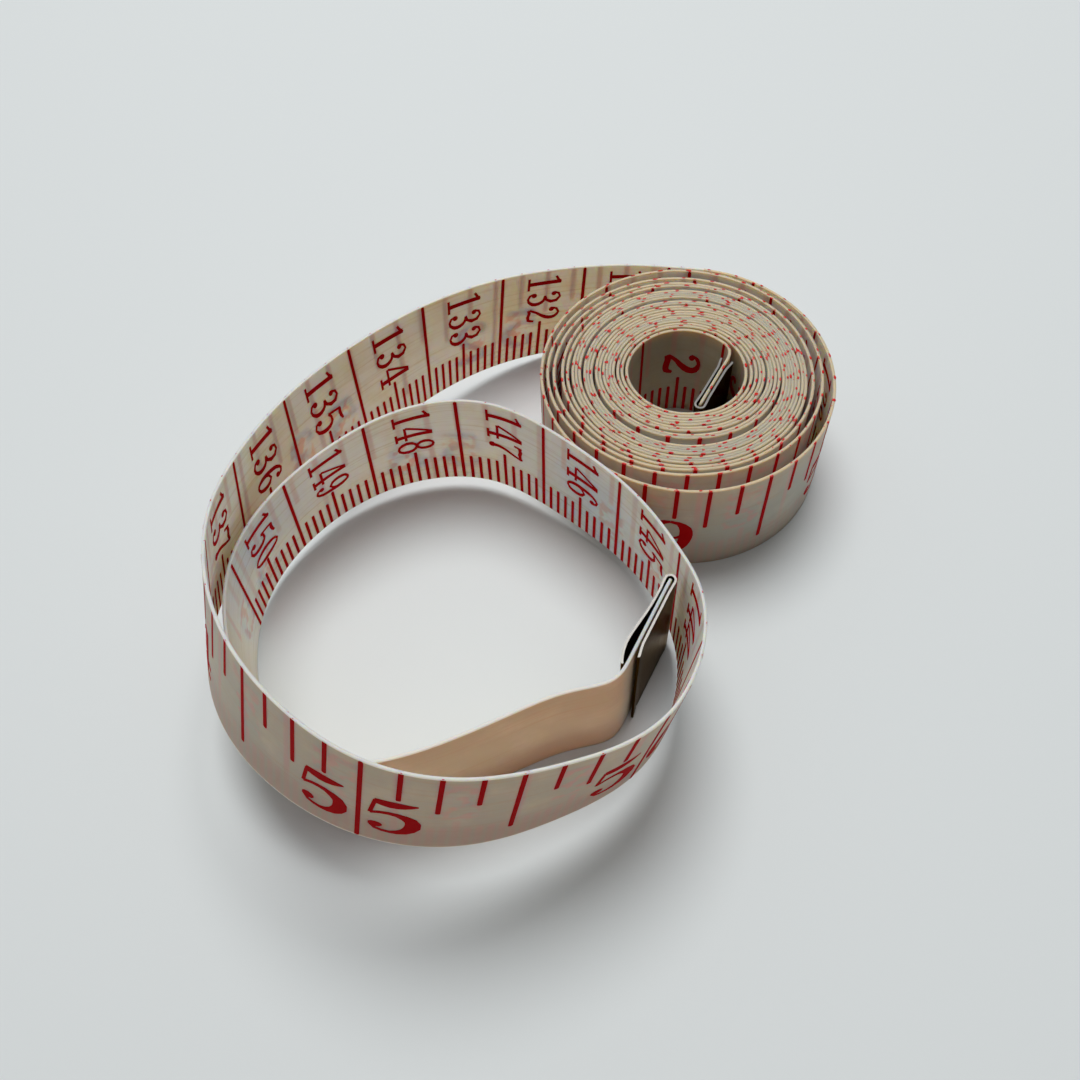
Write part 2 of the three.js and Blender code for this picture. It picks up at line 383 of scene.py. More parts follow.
# Printed red ink, which lets a share of the light through, and ink that has run
inkValues = {
    "colour": (0.52, 0.002, 0.004, 1),
    "worn": (0.62, 0.005, 0.007, 1),
    "wear": {"Scale": 900.0, "Amount": 0.6, "Low": 0.45, "High": 0.75},
    "shadow": 0.45,
    "grainScale": 3500.0,
    "bump": 0.12,
    "bumpDepth": 0.00004,
    "roughness": 0.6,
    "specular": 0.02,
}
bleedValues = {
    "colour": (0.70, 0.012, 0.012, 1),
    "pale": (0.85, 0.16, 0.13, 1),
    "fading": {"Scale": 1400.0, "Amount": 0.8, "Low": 0.45, "High": 0.7},
    "roughness": 0.6,
    "specular": 0.2,
}


def makeInk(values):
    material, tree, shader = newMaterial("scaleInk")
    place = addNode(tree, "ShaderNodeTexCoord").outputs["Object"]
    worn = mottle(tree, place, values["colour"], values["worn"], values["wear"])
    tree.links.new(worn["Colour"], shader.inputs["Base Color"])
    grain = noise(tree, place, values["grainScale"], 3.0)
    addBump(tree, shader, grain, values["bump"], values["bumpDepth"])
    light = addNode(tree, "ShaderNodeLightPath")
    thin = mapped(tree, light.outputs["Is Shadow Ray"], toRange=(1.0, values["shadow"]))
    tree.links.new(thin, shader.inputs["Alpha"])
    shader.inputs["Roughness"].default_value = values["roughness"]
    shader.inputs["Specular IOR Level"].default_value = values["specular"]
    return material


def makeBleed(values):
    material, tree, shader = newMaterial("bledInk")
    place = addNode(tree, "ShaderNodeTexCoord").outputs["Object"]
    blot = mottle(tree, place, values["colour"], values["pale"], values["fading"])
    tree.links.new(blot["Colour"], shader.inputs["Base Color"])
    shader.inputs["Roughness"].default_value = values["roughness"]
    shader.inputs["Specular IOR Level"].default_value = values["specular"]
    return material


# Nickel on the clips, its colour painted nearly black as painted shade for the shaded surroundings it
# mirrors, and lighter and less metallic along the cut edges at top and bottom as a painted highlight
nickelValues = {
    # painted shade: the metal's colour is nearly black, standing in for the dark surroundings it mirrors
    "colour": (0.062, 0.040, 0.020, 1),
    "rubbed": (0.03, 0.018, 0.008, 1),
    "rubbing": {"Scale": 500.0, "Amount": 0.5, "Low": 0.4, "High": 0.8},
    "tint": (0.5, 0.4, 0.3, 1),
    "edge": (0.26, 0.26, 0.25, 1),
    "edgeReach": (0.00626, 0.00630),
    "edgeMetallic": 0.2,
    "scratchStretch": (6000, 6000, 500),
    "roughness": (0.10, 0.32),
    "bump": 0.06,
    "bumpDepth": 0.00003,
}


def makeNickel(values):
    material, tree, shader = newMaterial("nickelPlate")
    place = addNode(tree, "ShaderNodeTexCoord").outputs["Object"]
    rubbed = mottle(tree, place, values["colour"], values["rubbed"], values["rubbing"])
    height = addNode(tree, "ShaderNodeSeparateXYZ", inputs={0: place}).outputs["Z"]
    away = awayFrom(tree, height, tapeValues["width"] / 2)
    # painted highlight along the cut edges at top and bottom
    cut = mapped(tree, away, values["edgeReach"])
    tree.links.new(mixed(tree, cut, rubbed["Colour"], values["edge"]), shader.inputs["Base Color"])
    scratch = noise(tree, stretched(tree, place, values["scratchStretch"]), 1.0, 2.0)
    rough = mapped(tree, scratch, toRange=values["roughness"])
    tree.links.new(rough, shader.inputs["Roughness"])
    addBump(tree, shader, scratch, values["bump"], values["bumpDepth"])
    shader.inputs["Specular Tint"].default_value = values["tint"]
    dull = mapped(tree, cut, toRange=(1.0, values["edgeMetallic"]))
    tree.links.new(dull, shader.inputs["Metallic"])
    return material


clothMaterial = makeCloth(clothValues, throughValues)
inkMaterial = makeInk(inkValues)
bleedMaterial = makeBleed(bleedValues)
nickelMaterial = makeNickel(nickelValues)
print("materials made")


# Where the tape runs. The roll: its outer radius and end, and its turns' radii from the outermost in, at
# four directions from the axis, in millimetres. They were read off, and guessed where edges merge.
# That there are 20 comes from the length that the roll has to hold, not from a count
rollValues = {
    "axis": (0.016086, 0.015553), "outerRadius": 0.0156893, "endAngle": 77, "startAngle": 40,
    "innerRadius": 0.005692, "leastPitch": 0.000306, "smooth": 24,
    "right": [
        15.0, 13.9, 12.9, 12.1, 11.8, 11.4, 11.1, 10.8, 10.5, 10.2, 9.85, 9.5, 9.1, 8.75, 8.45, 7.9, 7.55,
        7.1, 6.6, 6.0
    ],
    "front": [
        15.65, 13.5, 12.85, 12.54, 12.0, 11.7, 11.4, 10.9, 10.6, 10.3, 10.0, 8.85, 8.54, 7.9, 7.55, 7.1,
        6.75, 6.4, 6.05, 5.7
    ],
    "left": [
        15.45, 14.9, 14.25, 13.3, 12.8, 12.2, 11.85, 11.5, 10.95, 10.64, 10.3, 9.75, 9.4, 9.0, 8.65, 8.34,
        8.0, 7.5, 7.05, 6.55
    ],
    "back": [
        15.4, 14.1, 13.3, 12.95, 12.1, 11.8, 11.5, 11.15, 10.4, 10.1, 9.6, 9.25, 8.8, 8.45, 8.05, 7.74, 7.4,
        7.0, 6.65, 6.1
    ],
}
chordValues = {
    "offset": 0.0029, "reach": 0.004125, "length": 0.0075, "heading": 59, "endInFold": 0.0005,
    "straightSteps": 20, "bendSteps": 40
}
rollSides = (("right", 0), ("front", -90), ("left", -180), ("back", -270))

# The free stretch: degrees round the roll's axis, metres out from the roll's last turn, lift and lean
looseRoute = [
    (106.4, 0.002, 0, 0), (130.2, 0.0052, 0.0005, 0), (148.2, 0.009, 0.0015, 1), (164.1, 0.0134, 0.0025, 4),
    (178.3, 0.0183, 0.0035, 9), (188, 0.0237, 0.0045, 10), (196, 0.0296, 0.006, 5),
    (203.3, 0.036, 0.008, -5), (211.1, 0.0404, 0.0095, -14), (219.1, 0.043, 0.01, -18),
    (227.8, 0.0431, 0.01, -15), (236, 0.0416, 0.009, -8), (243.9, 0.0378, 0.0075, -2),
    (251, 0.0319, 0.006, 4), (259, 0.0261, 0.0045, 8), (264, 0.0172, 0.003, 6), (263.1, 0.0091, 0.0015, 0.5),
    (247.6, 0.002, 0.0015, 0), (214.2, 0.0012, 0.0015, 2), (189.5, 0.0056, 0.0015, 1),
    (186.7, 0.0145, 0.0015, -2), (191.2, 0.023, 0.0015, -7), (197.7, 0.0305, 0.001, -5),
    (205.3, 0.0358, 0.0005, -1), (214.1, 0.0387, 0, 0), (222.5, 0.0406, 0, 0), (230.1, 0.0397, 0, 0),
    (235.7, 0.0348, 0, 0), (241.7, 0.0282, 0, 0), (247.4, 0.0233, 0, 0),
]
outerEndValues = {
    "beside": 16, "aside": (-0.00135, -0.0003), "heading": 61, "shortLeaf": 0.0092, "leaf": 0.0104,
    "bow": 0.0005, "shares": (1.2, 0.92, 0.46, 0), "endInFold": 0.0005, "stepsPerSpan": 60
}


def headingWay(degrees):
    return np.array([math.cos(math.radians(degrees)), math.sin(math.radians(degrees)), 0.0])


def rollPlaces(values, chord):
    wound, radii = [values["endAngle"]], [values["outerRadius"]]
    for turn in range(len(values["right"])):
        for side, angle in rollSides:
            wound.append(angle - 360 * turn)
            radii.append(values[side][turn] / 1000)
    last = min(wound)
    sweepEnd = values["startAngle"] - 360 * math.ceil((values["startAngle"] - last) / 360)
    wound.append(sweepEnd)
    radii.append(values["innerRadius"])
    angles = np.arange(values["endAngle"], sweepEnd - 1, -1.0)
    wish = np.interp(-angles, -np.array(wound), radii)
    window = np.hanning(2 * values["smooth"] + 1)
    padded = np.pad(wish, values["smooth"], mode="edge")
    radius = np.convolve(padded, window / window.sum(), "valid")
    for i in range(360, len(radius)):
        radius[i] = min(radius[i], radius[i - 360] - values["leastPitch"])
    radius, angles = radius[::-1], np.radians(angles[::-1])
    pitches = radius[360:] - radius[:-360]
    turns = (angles[-1] - angles[0]) / 2 / math.pi
    print("roll radii", radius[0], radius[-1], "least pitch", pitches.min(), "turns", turns)
    places = np.stack([radius * np.cos(angles), radius * np.sin(angles), 0 * radius], 1)
    way, side = headingWay(chord["heading"]), headingWay(chord["heading"] - 90)
    fold = side * chord["offset"] - way * chord["reach"]
    tapeEnd, mouth = fold + way * chord["endInFold"], fold + way * chord["length"]
    start = places[0]
    tangent = places[1] - places[0]
    tangent /= np.linalg.norm(tangent)
    corner = start + tangent * (chord["offset"] - start @ side) / (tangent @ side)
    t = np.linspace(0, 1, chord["bendSteps"])[1:-1, None]
    bend = (1 - t) ** 2 * mouth + 2 * t * (1 - t) * corner + t ** 2 * start
    straight = tapeEnd + (mouth - tapeEnd) * np.linspace(0, 1, chord["straightSteps"])[:, None]
    return np.concatenate([straight, bend, places])


def splinePlaces(points, perSpan):
    points = np.array(points, float)
    points = np.concatenate([[2 * points[0] - points[1]], points, [2 * points[-1] - points[-2]]])
    u = np.arange(perSpan)[:, None] / perSpan
    weights = [(1 - u) ** 3, 3 * u ** 3 - 6 * u ** 2 + 4, -3 * u ** 3 + 3 * u ** 2 + 3 * u + 1, u ** 3]
    spans = [sum(w * points[i + k] for k, w in enumerate(weights)) / 6 for i in range(len(points) - 3)]
    spans.append(points[-2][None])
    return np.concatenate(spans)


def loosePlaces(roll, ends):
    points = []
    for angle, distance, lift, lean in looseRoute:
        far = roll["outerRadius"] + distance
        points.append([far * math.cos(math.radians(angle)), far * math.sin(math.radians(angle)), lift, lean])
    way = headingWay(ends["heading"])
    fold = np.array(points[ends["beside"]][:2]) + ends["aside"]
    for share in ends["shares"]:
        points.append([*(fold - share * ends["leaf"] * way[:2]), 0, 0])
    end = headingWay(roll["endAngle"]) * roll["outerRadius"]
    return splinePlaces([[end[0], end[1], 0, 0], *points], ends["stepsPerSpan"])


# Shifts of the print, set so that its marks lie where the photograph has them: metres along the
# tape, and metres that the marks are ahead of their true places
printSlips = [
    (0, 0), (1.1, -0.0003), (1.2, -0.0006), (1.26, -0.0006), (1.3, 0), (1.375, 0), (1.397, 0.0004),
    (1.418, 0.0004), (1.455, -0.0012), (1.5, -0.001)
]


def runAlong(line):
    return np.concatenate([[0], np.cumsum(np.linalg.norm(np.diff(line, axis=0), axis=1))])


def makeStations():
    rolled = rollPlaces(rollValues, chordValues)
    loose = loosePlaces(rollValues, outerEndValues)
    places = np.concatenate([np.c_[rolled[:-1], np.zeros(len(rolled) - 1)], loose])
    coarse = runAlong(places[:, :3])
    coarseEnd = coarse[-1] - outerEndValues["endInFold"]
    count = int(round(coarseEnd / tapeValues["step"]))
    at = np.linspace(0, coarseEnd, count + 1)
    even = np.stack([np.interp(at, coarse, places[:, k]) for k in range(4)], 1)
    along = np.gradient(even[:, :3], axis=0)
    along /= np.linalg.norm(along, axis=1)[:, None]
    out = np.stack([along[:, 1], -along[:, 0], 0 * along[:, 0]], 1)
    out /= np.linalg.norm(out, axis=1)[:, None]
    rise = np.cross(out, along)
    lean = np.radians(even[:, 3])[:, None]
    rise = rise * np.cos(lean) + out * np.sin(lean)
    face = np.cross(along, rise)
    middle = even[:, :3] + rise * tapeValues["width"] / 2
    run = runAlong(middle) + chordValues["endInFold"]
    rollEnd = np.interp(coarse[len(rolled) - 1], at, run)
    full = run[-1] + outerEndValues["endInFold"]
    stretch = tapeValues["rolled"] / rollEnd
    print("tape from fold to fold", full, "roll's part", rollEnd, "free part", full - rollEnd)
    print("print stretched in the roll by", stretch)
    marked = np.where(run < rollEnd, run * stretch, run - rollEnd + tapeValues["rolled"])
    slips = np.array(printSlips)
    marked += np.interp(marked, slips[:, 0], slips[:, 1])
    bottom = even[:, :3] + np.array([*rollValues["axis"], 0])
    return {"at": marked, "bottom": bottom, "rise": rise, "face": face}


stations = makeStations()


# Flat coordinates are metres along the tape, across it from the lower edge, and out of its convex face
def wind(flat):
    def along(key):
        return np.stack([np.interp(flat[:, 0], stations["at"], stations[key][:, k]) for k in range(3)], 1)
    return along("bottom") + along("rise") * flat[:, 1:2] + along("face") * flat[:, 2:3]


def newPiece(name, mesh, material, smooth=True):
    mesh.name = name
    piece = bpy.data.objects.new(name, mesh)
    bpy.context.scene.collection.objects.link(piece)
    mesh.materials.clear()
    mesh.materials.append(material)
    mesh.polygons.foreach_set("use_smooth", [smooth] * len(mesh.polygons))
    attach(piece, "root")
    return piece


def windMesh(mesh, flat):
    mesh.vertices.foreach_set("co", wind(flat).ravel())
    mesh.update()


def flatOf(mesh):
    flat = np.zeros(3 * len(mesh.vertices))
    mesh.vertices.foreach_get("co", flat)
    return flat.reshape(-1, 3)


def makeTape(values):
    start, end = stations["at"][0], stations["at"][-1]
    steps = len(stations["at"]) - 1
    shape = bmesh.new()
    bmesh.ops.create_grid(shape, x_segments=steps, y_segments=values["acrossSteps"], size=0.5)
    bottom = shape.faces[:]
    solid = bmesh.ops.extrude_face_region(shape, geom=bottom)
    for vert in solid["geom"]:
        if isinstance(vert, bmesh.types.BMVert):
            vert.co.z += 1
    for vert in shape.verts:
        x, y, z = vert.co
        along = start + (x + 0.5) * (end - start)
        vert.co = Vector((along, (y + 0.5) * values["width"], (z - 0.5) * values["thickness"]))
    rims = [e for e in shape.edges
            if abs(e.verts[0].co.x - e.verts[1].co.x) > 1e-5
            and all(min(v.co.y, values["width"] - v.co.y) < 1e-6 for v in e.verts)]
    bmesh.ops.bevel(
        shape, geom=rims, offset=values["rim"], segments=values["rimSteps"], profile=0.5, affect="EDGES"
    )
    bmesh.ops.recalc_face_normals(shape, faces=shape.faces[:])
    mesh = bpy.data.meshes.new("tape")
    shape.to_mesh(mesh)
    shape.free()
    flat = flatOf(mesh)
    uv = mesh.uv_layers.new(name="flat")
    corner = np.zeros(len(mesh.loops), int)
    mesh.loops.foreach_get("vertex_index", corner)
    middles = np.zeros(3 * len(mesh.polygons))
    mesh.polygons.foreach_get("center", middles)
    corners = np.zeros(len(mesh.polygons), int)
    mesh.polygons.foreach_get("loop_total", corners)
    onOuter = np.repeat(middles.reshape(-1, 3)[:, 2] > 1e-6, corners)
    spread = flat[corner][:, :2]
    spread[:, 1] += faceApart * onOuter
    uv.data.foreach_set("uv", spread.ravel())
    windMesh(mesh, flat)
    return newPiece("tape", mesh, clothMaterial)


tape = makeTape(tapeValues)
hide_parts("coiled_tape", "tape_loop")
print("tape wound", len(tape.data.polygons), "faces")


# The numerals' strokes: x, y and width along each, in shares of the height; balls are x, y, radius
def oval(x, y, wide, high, thick, thin):
    turn = [2 * math.pi * k / 12 for k in range(13)]
    return [
        (
            x + wide * math.cos(a), y + high * math.sin(a), thin + (thick - thin) * math.cos(a) ** 2
        ) for a in turn
    ]


figures = {
    "0": {"strokes": [oval(0.26, 0.5, 0.185, 0.475, 0.16, 0.045)], "balls": []},
    "1": {
        "strokes": [
            [(0.27, 0.01, 0.17), (0.27, 0.5, 0.165), (0.27, 0.98, 0.17)],
            [(0.30, 0.97, 0.05), (0.18, 0.88, 0.06), (0.07, 0.82, 0.05)],
            [(0.07, 0.015, 0.045), (0.48, 0.015, 0.045)]
        ],
        "balls": []
    },
    "2": {
        "strokes": [
            [
                (0.07, 0.74, 0.04), (0.12, 0.91, 0.06), (0.25, 0.975, 0.05), (0.39, 0.88, 0.12),
                (0.42, 0.70, 0.165), (0.33, 0.50, 0.12), (0.18, 0.31, 0.06), (0.06, 0.10, 0.05)
            ],
            [
                (0.05, 0.05, 0.07), (0.16, 0.09, 0.12), (0.30, 0.05, 0.12), (0.42, 0.07, 0.10),
                (0.48, 0.24, 0.03)
            ]
        ],
        "balls": [(0.12, 0.76, 0.08)]
    },
    "3": {
        "strokes": [
            [
                (0.07, 0.80, 0.04), (0.13, 0.94, 0.055), (0.25, 0.98, 0.05), (0.38, 0.88, 0.12),
                (0.40, 0.72, 0.15), (0.32, 0.58, 0.08), (0.17, 0.53, 0.04)
            ],
            [
                (0.17, 0.53, 0.04), (0.34, 0.49, 0.09), (0.43, 0.34, 0.15), (0.42, 0.17, 0.15),
                (0.31, 0.04, 0.07), (0.21, 0.015, 0.05), (0.10, 0.07, 0.055), (0.06, 0.19, 0.04)
            ]
        ],
        "balls": [(0.12, 0.79, 0.075), (0.11, 0.20, 0.08)]
    },
    "4": {
        "strokes": [
            [(0.32, 0.97, 0.05), (0.17, 0.62, 0.045), (0.03, 0.29, 0.05)],
            [(0.02, 0.27, 0.05), (0.27, 0.27, 0.05), (0.53, 0.27, 0.05)],
            [(0.37, 0.98, 0.14), (0.36, 0.5, 0.155), (0.36, 0.02, 0.16)],
            [(0.20, 0.015, 0.045), (0.52, 0.015, 0.045)]
        ],
        "balls": []
    },
    "5": {
        "strokes": [
            [(0.09, 0.94, 0.09), (0.22, 0.92, 0.13), (0.34, 0.94, 0.10), (0.45, 0.985, 0.02)],
            [(0.10, 0.96, 0.045), (0.08, 0.75, 0.045), (0.06, 0.53, 0.045)],
            [
                (0.06, 0.53, 0.04), (0.15, 0.61, 0.05), (0.28, 0.62, 0.07), (0.40, 0.49, 0.14),
                (0.42, 0.28, 0.165), (0.35, 0.09, 0.11), (0.23, 0.015, 0.05), (0.11, 0.06, 0.05),
                (0.06, 0.18, 0.04)
            ]
        ],
        "balls": [(0.11, 0.19, 0.08)]
    },
    "6": {
        "strokes": [
            [
                (0.43, 0.84, 0.04), (0.37, 0.95, 0.055), (0.28, 0.98, 0.05), (0.15, 0.82, 0.12),
                (0.10, 0.50, 0.165), (0.11, 0.22, 0.15), (0.19, 0.05, 0.07), (0.27, 0.015, 0.045)
            ],
            [
                (0.27, 0.015, 0.045), (0.38, 0.09, 0.10), (0.43, 0.28, 0.15), (0.39, 0.47, 0.11),
                (0.28, 0.56, 0.05), (0.17, 0.49, 0.05), (0.11, 0.38, 0.05)
            ]
        ],
        "balls": [(0.39, 0.82, 0.075)]
    },
    "7": {
        "strokes": [
            [(0.03, 0.74, 0.02), (0.05, 0.86, 0.045), (0.07, 0.97, 0.06)],
            [
                (0.06, 0.90, 0.10), (0.18, 0.93, 0.14), (0.32, 0.90, 0.14), (0.43, 0.92, 0.08),
                (0.50, 0.97, 0.02)
            ],
            [
                (0.49, 0.95, 0.04), (0.42, 0.72, 0.06), (0.31, 0.50, 0.09), (0.24, 0.30, 0.13),
                (0.22, 0.12, 0.17)
            ]
        ],
        "balls": [(0.22, 0.10, 0.095)]
    },
    "8": {
        "strokes": [
            oval(0.255, 0.745, 0.145, 0.215, 0.12, 0.045), oval(0.255, 0.27, 0.18, 0.245, 0.15, 0.045)
        ],
        "balls": []
    },
}
figures["9"] = {
    "strokes": [[(0.52 - x, 1 - y, w) for x, y, w in stroke] for stroke in figures["6"]["strokes"]],
    "balls": [(0.52 - x, 1 - y, r) for x, y, r in figures["6"]["balls"]]
}

# By their number of digits, centimetre figures are widened, bolder and set in columns across the tape
centimetreValues = {
    "height": 0.0041,
    "centre": 0.26,
    "wide": {
        1: {"widen": 1.6, "weight": (0.05, 1.15)},
        2: {"widen": 1.2, "weight": (0.04, 0.6)},
        3: {"widen": 1.0, "weight": (0.052, 0.42)},
    },
    "columns": {1: (0.0050,), 2: (0.003, 0.0054), 3: (0.0016, 0.00395, 0.0063)},
    "base": 0.0068,
    "tickWidth": 0.00036,
    "lineWidth": 0.00038,
    "tick": 0.0038,
    "middleTick": 0.0053,
    "count": 150,
}
inchValues = {
    "height": 0.0055,
    "centre": 0.26,
    "wide": {"widen": 1.8, "weight": (0, 1.5)},
    "columns": (-0.00322, 0.00296),
    "base": 0.0021,
    "markWidth": 0.00043,
    "eighth": 0.36,
    "quarter": 0.475,
    "half": 0.8,
    "whole": 0.992,
    "count": 60,
}
printValues = {
    "sunk": 0.00001,
    "proud": 0.00002,
    "layer": 0.0000012,
    "strokeStep": 0.11,
    "ballSides": 10,
    "barRound": 0.42,
    "barRoundSteps": 3,
    "fromRim": 0.00005,
}


def smoothStroke(stroke, step):
    points = np.array(stroke, float)
    ends = np.concatenate([[2 * points[0] - points[1]], points, [2 * points[-1] - points[-2]]])
    length = np.linalg.norm(np.diff(points[:, :2], axis=0), axis=1)
    places = []
    for i, size in enumerate(length):
        a, b, c, d = ends[i:i + 4]
        count = max(1, round(size / step))
        for t in np.arange(count) / count:
            curve = (2 * a - 5 * b + 4 * c - d) * t ** 2 + (3 * b - a - 3 * c + d) * t ** 3
            places.append(0.5 * (2 * b + (c - a) * t + curve))
    places.append(points[-1])
    return np.array(places)


# One figure as thin closed slabs, in shares of its height, its strokes at slightly different levels
def figureTemplate(figure, values, wide):
    shape = bmesh.new()
    level = 0
    for stroke in figures[figure]["strokes"]:
        least, growth = wide["weight"]
        points = [((x - values["centre"]) * wide["widen"], y, least + w * growth) for x, y, w in stroke]
        line = smoothStroke(points, printValues["strokeStep"])
        way = np.gradient(line[:, :2], axis=0)
        way /= np.linalg.norm(way, axis=1)[:, None]
        if np.allclose(line[0, :2], line[-1, :2], atol=1e-6):
            way[0] = way[-1] = (0, 1)
        side = np.stack([-way[:, 1], way[:, 0]], 1)
        grid = bmesh.ops.create_grid(shape, x_segments=len(line) - 1, y_segments=1, size=0.5)["verts"]
        for vert in grid:
            at = int(round((vert.co.x + 0.5) * (len(line) - 1)))
            half = (1 if vert.co.y > 0 else -1) * line[at, 2] / 2
            x, y = line[at, :2] + side[at] * half
            vert.co = Vector((x, y, level))
        level += 1
    for x, y, radius in figures[figure]["balls"]:
        ball = bmesh.ops.create_circle(
            shape, cap_ends=True, segments=printValues["ballSides"], radius=radius
        )["verts"]
        for vert in ball:
            aside = (x - values["centre"]) * wide["widen"] + vert.co.x * (1 + wide["widen"]) / 2
            vert.co = Vector((aside, y + vert.co.y, level))
        level += 1
    top = bmesh.ops.extrude_face_region(shape, geom=shape.faces[:])["geom"]
    raised = {v for v in top if isinstance(v, bmesh.types.BMVert)}
    for vert in shape.verts:
        depth = -printValues["sunk"]
        if vert in raised:
            depth = printValues["proud"] + vert.co.z * printValues["layer"]
        vert.co = Vector((vert.co.x * values["height"], vert.co.y * values["height"], depth))
    bmesh.ops.recalc_face_normals(shape, faces=shape.faces[:])
    mesh = bpy.data.meshes.new("figure" + figure)
    shape.to_mesh(mesh)
    shape.free()
    return mesh


# One mark: a bar from one edge with a rounded far end
def barTemplate(width, length, roundBoth=False):
    shape = bmesh.new()
    bmesh.ops.create_grid(shape, x_segments=1, y_segments=1, size=0.5)
    for vert in shape.verts:
        vert.co = Vector((vert.co.x * width, (vert.co.y + 0.5) * length, 0))
    ends = [v for v in shape.verts if v.co.y > length / 2 or roundBoth]
    reach, steps = width * printValues["barRound"], printValues["barRoundSteps"]
    bmesh.ops.bevel(shape, geom=ends, offset=reach, segments=steps, profile=0.5, affect="VERTICES")
    top = bmesh.ops.extrude_face_region(shape, geom=shape.faces[:])["geom"]
    raised = {v for v in top if isinstance(v, bmesh.types.BMVert)}
    for vert in shape.verts:
        vert.co.z = printValues["proud"] if vert in raised else -printValues["sunk"]
    bmesh.ops.recalc_face_normals(shape, faces=shape.faces[:])
    mesh = bpy.data.meshes.new("bar")
    shape.to_mesh(mesh)
    shape.free()
    return mesh


# Stamps go on one face: "inner" is the concave one. A stamp's six numbers say how its template's x and y
# become metres along the tape and across it
def stampPiece(name, stamps, material, face):
    shape = bmesh.new()
    matrices, counts = [], []
    for template, matrix in stamps:
        before = len(shape.verts)
        shape.from_mesh(template)
        counts.append(len(shape.verts) - before)
        matrices.append(matrix)
    mesh = bpy.data.meshes.new(name)
    shape.to_mesh(mesh)
    shape.free()
    local = flatOf(mesh)
    index = np.repeat(np.arange(len(counts)), counts)
    table = np.array(matrices, float)[index]
    flat = np.empty_like(local)
    flat[:, 0] = table[:, 0] + table[:, 1] * local[:, 0] + table[:, 2] * local[:, 1]
    flat[:, 1] = table[:, 3] + table[:, 4] * local[:, 0] + table[:, 5] * local[:, 1]
    side = 1 if face == "outer" else -1
    flat[:, 2] = side * (tapeValues["thickness"] / 2 + local[:, 2])
    windMesh(mesh, flat)
    tidy = bmesh.new()
    tidy.from_mesh(mesh)
    bmesh.ops.recalc_face_normals(tidy, faces=tidy.faces[:])
    tidy.to_mesh(mesh)
    tidy.free()
    print(name, len(stamps), "stamps", len(mesh.polygons), "faces")
    return newPiece(name, mesh, material, smooth=False)


def centimetreFigures(values):
    stamps = []
    templates = {
        (figure, places): figureTemplate(figure, values, wide)
        for figure in figures
        for places, wide in values["wide"].items()
    }
    for number in range(1, values["count"] + 1):
        base = scaleValues["centimetre"] * (number - 1) + values["base"]
        places = len(str(number))
        for figure, column in zip(str(number), values["columns"][places]):
            turn = (base, 0, -1, tapeValues["width"] - column, -1, 0)
            stamps.append((templates[figure, places], turn))
    return stamps


def centimetreMarks(values):
    tick = barTemplate(values["tickWidth"], values["tick"])
    middle = barTemplate(values["tickWidth"], values["middleTick"])
    fromRim = printValues["fromRim"]
    line = barTemplate(values["lineWidth"], tapeValues["width"] - 2 * fromRim, roundBoth=True)
    stamps = []
    for millimetre in range(1, 10 * values["count"] + 1):
        kind = line if millimetre % 10 == 0 else middle if millimetre % 5 == 0 else tick
        stamps.append((kind, (scaleValues["millimetre"] * millimetre, 1, 0, fromRim, 0, 1)))
    return stamps


def inchFigures(values):
    stamps = []
    templates = {f: figureTemplate(f, values, values["wide"]) for f in figures}
    for number in range(1, values["count"] + 1):
        for figure, column in zip(str(number), values["columns"]):
            turn = (scaleValues["inch"] * number + column, 1, 0, values["base"], 0, 1)
            stamps.append((templates[figure], turn))
    return stamps


def inchMarks(values):
    shares = {0: values["whole"], 4: values["half"], 2: values["quarter"], 6: values["quarter"]}
    bars = []
    for eighth in range(8):
        length = tapeValues["width"] * shares.get(eighth, values["eighth"])
        bars.append(barTemplate(values["markWidth"], length, roundBoth=eighth == 0))
    top = tapeValues["width"] - printValues["fromRim"]
    stamps = []
    for eighth in range(1, 8 * values["count"] + 1):
        stamps.append((bars[eighth % 8], (scaleValues["inch"] / 8 * eighth, 1, 0, top, 0, -1)))
    return stamps


prints = [
    stampPiece("centimetre_figures", centimetreFigures(centimetreValues), inkMaterial, "inner"),
    stampPiece("centimetre_marks", centimetreMarks(centimetreValues), inkMaterial, "inner"),
    stampPiece("inch_figures", inchFigures(inchValues), inkMaterial, "outer"),
    stampPiece("inch_marks", inchMarks(inchValues), inkMaterial, "outer"),
]

# Where ink has run over the top rim: a blot at each inch mark and centimetre line, and stray ones between
blotValues = {
    "size": (0.00030, 0.00008, 0.00012),
    "inchSize": 1.0,
    "centimetreSize": 0.85,
    "straySize": 0.55,
    "stray": 260,
    "strayRun": (0.01, 1.5),
    "grow": (0.7, 1.35),
    "loose": 0.5,
    "sink": 0.00003,
    "aside": 0.00008,
    "waver": (0.98, 1.02),
    "seed": 7,
}


